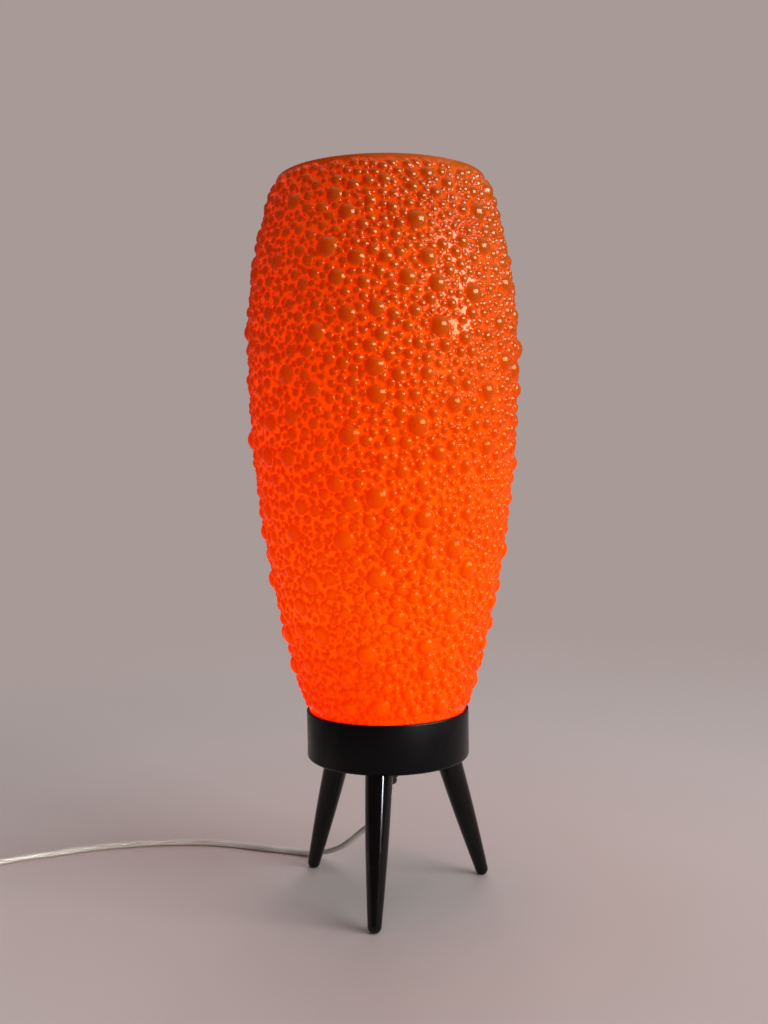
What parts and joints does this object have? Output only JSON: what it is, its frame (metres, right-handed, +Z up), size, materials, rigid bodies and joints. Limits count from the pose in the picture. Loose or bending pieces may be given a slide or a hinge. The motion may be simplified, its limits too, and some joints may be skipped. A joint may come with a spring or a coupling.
{
  "type": "bubble table lamp",
  "caption": "Table lamp with a lift-off, vase-shaped translucent shade covered in bubbles, on a round drum base with splayed tapered legs, a flat cord, a cord switch and a plug.",
  "frame": {"origin": "on the floor, under the lamp's axis", "axes": "+Z up along the lamp's axis, the front leg towards -Y, the cord towards -X"},
  "size_m": [0.457, 0.1643, 0.4],
  "materials": {
    "shade_plastic": "glossy translucent orange plastic, lit from within",
    "black_plastic": "satin moulded black plastic",
    "black_lacquer": "glossy black lacquer on turned wood",
    "zinc_steel": "zinc-plated steel",
    "bakelite": "dark brown phenolic moulding",
    "porcelain": "white glazed porcelain",
    "brass": "bare brass",
    "wire_pvc": "wire insulation",
    "bulb_glass": "frosted bulb glass",
    "bulb_cap_aluminium": "rolled aluminium",
    "bulb_black_glass": "black glass insulator",
    "bulb_stem_glass": "clear glass",
    "filament": "glowing tungsten",
    "grip_plastic": "black moulded cord grip",
    "nylon": "natural nylon",
    "cord_pvc": "off-white flexible cord",
    "tie_plastic": "black tie",
    "switch_plastic": "off-white moulded plastic",
    "rocker_plastic": "off-white moulded plastic",
    "plug_pvc": "off-white moulded plug"
  },
  "bodies": {
    "base": {"base_drum": "black_plastic", "leg_front": "black_lacquer", "leg_right": "black_lacquer", "leg_left": "black_lacquer", "leg_studs": "zinc_steel", "leg_washers": "zinc_steel", "leg_nuts": "zinc_steel", "nipple": "zinc_steel", "holder_cap": "bakelite", "holder_skirt": "bakelite", "holder_insert": "porcelain", "holder_shell": "brass", "holder_tongue": "brass", "terminal_screws": "brass", "lead_wires": "wire_pvc", "cord_grip": "grip_plastic", "grip_screw": "nylon", "inner_cord": "cord_pvc", "cord_run": "cord_pvc", "cord_coil": "cord_pvc", "cord_tie": "tie_plastic", "switch_lower_shell": "switch_plastic", "switch_upper_shell": "switch_plastic", "switch_contacts": "brass", "switch_terminals": "brass", "switch_screws": "zinc_steel", "plug_body": "plug_pvc", "plug_pins": "brass"},
    "shade": {"shade": "shade_plastic", "shade_bubbles": "shade_plastic"},
    "bulb": {"bulb_glass": "bulb_glass", "bulb_cap": "bulb_cap_aluminium", "bulb_insulator": "bulb_black_glass", "bulb_contact": "zinc_steel", "bulb_stem": "bulb_stem_glass", "bulb_leads": "zinc_steel", "bulb_filament": "filament"},
    "rocker": {"switch_rocker": "rocker_plastic", "switch_bridge": "brass"}
  },
  "joints": [
    {"name": "shade_lift", "type": "slide", "parent": "base", "child": "shade", "axis": [0, 0, 1], "range_m": [0, 0.15]},
    {"name": "bulb_unscrew", "type": "slide", "parent": "base", "child": "bulb", "axis": [0, 0, 1], "range_m": [0, 0.03]},
    {"name": "switch_rock", "type": "hinge", "parent": "base", "child": "rocker", "pos_m": [-0.266, -0.019, 0.0145], "axis": [1, 0, 0], "range_deg": [-20, 0]}
  ]
}
